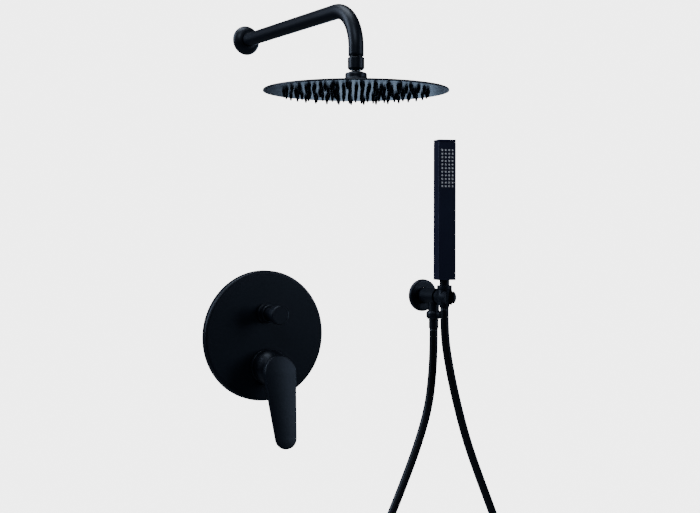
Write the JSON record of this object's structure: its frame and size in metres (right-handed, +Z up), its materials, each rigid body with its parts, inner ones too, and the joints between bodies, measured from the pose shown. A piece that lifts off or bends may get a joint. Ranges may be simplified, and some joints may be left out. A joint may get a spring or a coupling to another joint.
{
  "type": "concealed shower set",
  "caption": "Matt black in-wall shower set: wall arm with a round rain head on a ball joint, lever mixer with a pull diverter on a round plate, and a stick hand shower on its hose.",
  "frame": {"origin": "centre of the mixer's round cover plate, on the finished wall plane", "axes": "+X to the right along the wall seen from the room, +Y into the wall, +Z up; the room is on the -Y side"},
  "size_m": [0.5954, 0.5, 1.0745],
  "materials": {
    "black_metal": "matt black powder coat",
    "black_plastic": "satin black moulded plastic",
    "black_hose": "smooth matt black hose skin",
    "blue_face": "satin blue-grey coating",
    "black_silicone": "soft matt black silicone",
    "pale_silicone": "soft pale grey silicone",
    "seal_rubber": "soft matt rubber",
    "brass": "as machined",
    "steel": "plain",
    "ptfe": "smooth white",
    "ceramic": "polished",
    "cartridge_plastic": "moulded grey",
    "dark_steel": "blue-black satin"
  },
  "bodies": {
    "wall_group": {"arm_flange": "black_metal", "arm_flange_seal": "seal_rubber", "arm_tube": "black_metal", "arm_inlet_nipple": "brass", "arm_outlet_nipple": "black_metal", "swivel_nut": "black_metal", "cover_plate": "black_metal", "plate_gasket": "seal_rubber", "valve_body": "brass", "cartridge_housing": "cartridge_plastic", "cartridge_base_seals": "seal_rubber", "fixed_ceramic_disc": "ceramic", "cartridge_nut": "brass", "hub_sleeve": "black_metal", "hub_sleeve_seal": "seal_rubber", "diverter_insert": "brass", "diverter_rod_seal": "seal_rubber", "diverter_sleeve": "black_metal", "outlet_flange": "black_metal", "outlet_flange_seal": "seal_rubber", "outlet_elbow": "black_metal", "check_valve_housing": "cartridge_plastic", "check_valve_spring": "steel", "handset_holder": "black_metal", "holder_screw": "steel", "hose_washer": "seal_rubber", "outlet_tail": "brass", "union_nut": "black_metal", "outlet_ferrule": "black_metal", "shower_hose": "black_hose"},
    "swivel_seat": {"ball_seat_ring": "ptfe"},
    "rain_head": {"swivel_ball": "steel", "head_collar": "black_metal", "collar_gasket": "seal_rubber", "collar_lock_ring": "brass", "head_top_plate": "black_metal", "head_face_plate": "blue_face", "nozzle_mat": "black_silicone"},
    "cartridge_carrier": {"cartridge_driver": "cartridge_plastic", "stem_pin": "steel"},
    "moving_disc": {"moving_ceramic_disc": "ceramic"},
    "lever": {"cartridge_stem": "steel", "lever_handle": "black_metal", "lever_set_screw": "steel", "lever_screw_plug": "black_plastic"},
    "diverter": {"diverter_stem": "steel", "diverter_plunger_seal": "seal_rubber", "diverter_knob": "black_metal", "knob_set_screw": "steel"},
    "check_poppet": {"check_valve_poppet": "ptfe"},
    "hose_end": {"cone_tail": "brass", "cone_ferrule": "black_metal"},
    "handset": {"cone_nut": "black_metal", "handset_washer": "seal_rubber", "handset_connector": "dark_steel", "handset_shell": "black_plastic", "handset_end_cap": "black_plastic", "handset_nozzle_mat": "pale_silicone", "handset_water_channel": "cartridge_plastic"}
  },
  "joints": [
    {"name": "head_swivel", "type": "hinge", "parent": "wall_group", "child": "swivel_seat", "pos_m": [-0.027, -0.332, 0.3751], "axis": [0, 0, 1], "continuous": true},
    {"name": "head_tilt", "type": "hinge", "parent": "swivel_seat", "child": "rain_head", "pos_m": [-0.027, -0.332, 0.3751], "axis": [1, 0, 0], "range_deg": [-10, 10]},
    {"name": "temperature_turn", "type": "hinge", "parent": "wall_group", "child": "cartridge_carrier", "pos_m": [0, -0.026, -0.047], "axis": [0, -1, 0], "range_deg": [-45, 45]},
    {"name": "lever_lift", "type": "hinge", "parent": "cartridge_carrier", "child": "lever", "pos_m": [0, -0.026, -0.047], "axis": [-1, 0, 0], "range_deg": [0, 25]},
    {"name": "disc_slide", "type": "slide", "parent": "cartridge_carrier", "child": "moving_disc", "axis": [0, 0, 1], "range_m": [-0.0058, 0]},
    {"name": "diverter_pull", "type": "slide", "parent": "wall_group", "child": "diverter", "axis": [0, -1, 0], "range_m": [0, 0.0075]},
    {"name": "check_valve", "type": "slide", "parent": "wall_group", "child": "check_poppet", "axis": [0, 0, -1], "range_m": [0, 0.0025], "stiffness_N_per_m": 200, "springref_m": -0.003, "deforming": ["check_valve_spring"]},
    {"name": "handset_lift", "type": "slide", "parent": "wall_group", "child": "hose_end", "axis": [0, 0, 1], "range_m": [0, 0.045]},
    {"name": "handset_turn", "type": "hinge", "parent": "hose_end", "child": "handset", "pos_m": [0.298, -0.066, 0.06], "axis": [0, 0, 1], "continuous": true}
  ],
  "couplings": [
    {"joint": "disc_slide", "follows": "lever_lift", "m_per_rad": -0.01328}
  ]
}
